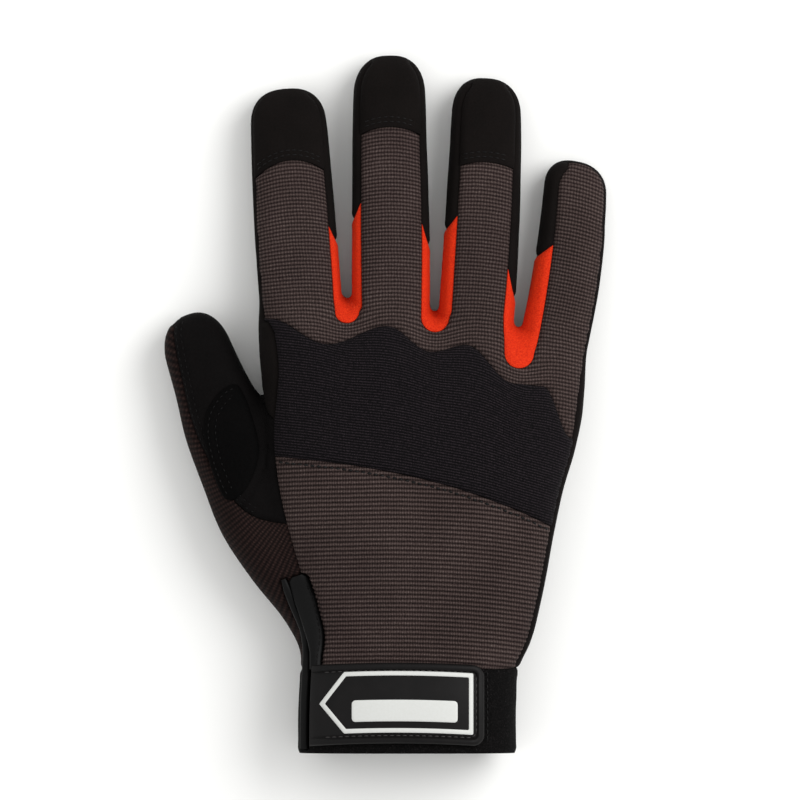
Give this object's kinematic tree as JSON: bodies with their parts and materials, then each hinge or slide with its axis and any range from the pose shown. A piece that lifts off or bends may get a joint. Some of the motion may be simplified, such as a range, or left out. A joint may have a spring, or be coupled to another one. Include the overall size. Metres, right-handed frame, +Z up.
{
  "type": "mechanic glove",
  "caption": "Right-hand work glove lying palm down: rib-knit back, padded scalloped knuckle panel, suede fingertips, stretch gussets and a moulded wrist closure tab.",
  "frame": {"origin": "middle of the glove's box in plan, on the surface that the palm lies on", "axes": "+X towards the little finger's side, +Y from the cuff to the fingertips, +Z up out of the back of the hand"},
  "size_m": [0.1522, 0.2412, 0.0411],
  "materials": {
    "rib_knit": "brown-grey rib-knit polyester",
    "neoprene": "black padded stretch neoprene, finely ribbed",
    "suede": "black synthetic suede, matt",
    "leather": "black synthetic leather, matt grain",
    "stretch_orange": "orange two-way stretch fabric",
    "smooth_binding": "smooth black coated binding",
    "loop_fabric": "black brushed loop fabric",
    "moulded_rubber": "black moulded soft PVC, satin",
    "white_print": "white raised print, satin"
  },
  "bodies": {
    "root": {"finger_back_knit": "rib_knit", "knuckle_panel": "neoprene", "hand_back_knit": "rib_knit", "index_tip_cap": "suede", "middle_tip_cap": "suede", "ring_tip_cap": "suede", "web_index_middle": "stretch_orange", "index_right_side": "suede", "middle_left_side": "suede", "web_middle_ring": "stretch_orange", "middle_right_side": "suede", "ring_left_side": "suede", "web_ring_little": "stretch_orange", "ring_right_side": "suede", "little_left_side": "suede", "index_left_side": "suede", "thumb_leather": "leather", "thumb_knit": "rib_knit", "thumb_patch": "leather", "little_right_side": "suede", "palm_panel": "leather", "thumb_front": "leather", "index_front": "leather", "middle_front": "leather", "ring_front": "leather", "little_front": "leather", "cuff_band": "loop_fabric", "slit_binding": "smooth_binding", "slit_gusset": "smooth_binding", "closure_tab": "moulded_rubber", "tab_frame": "white_print", "tab_write_on_field": "white_print"}
  },
  "joints": []
}
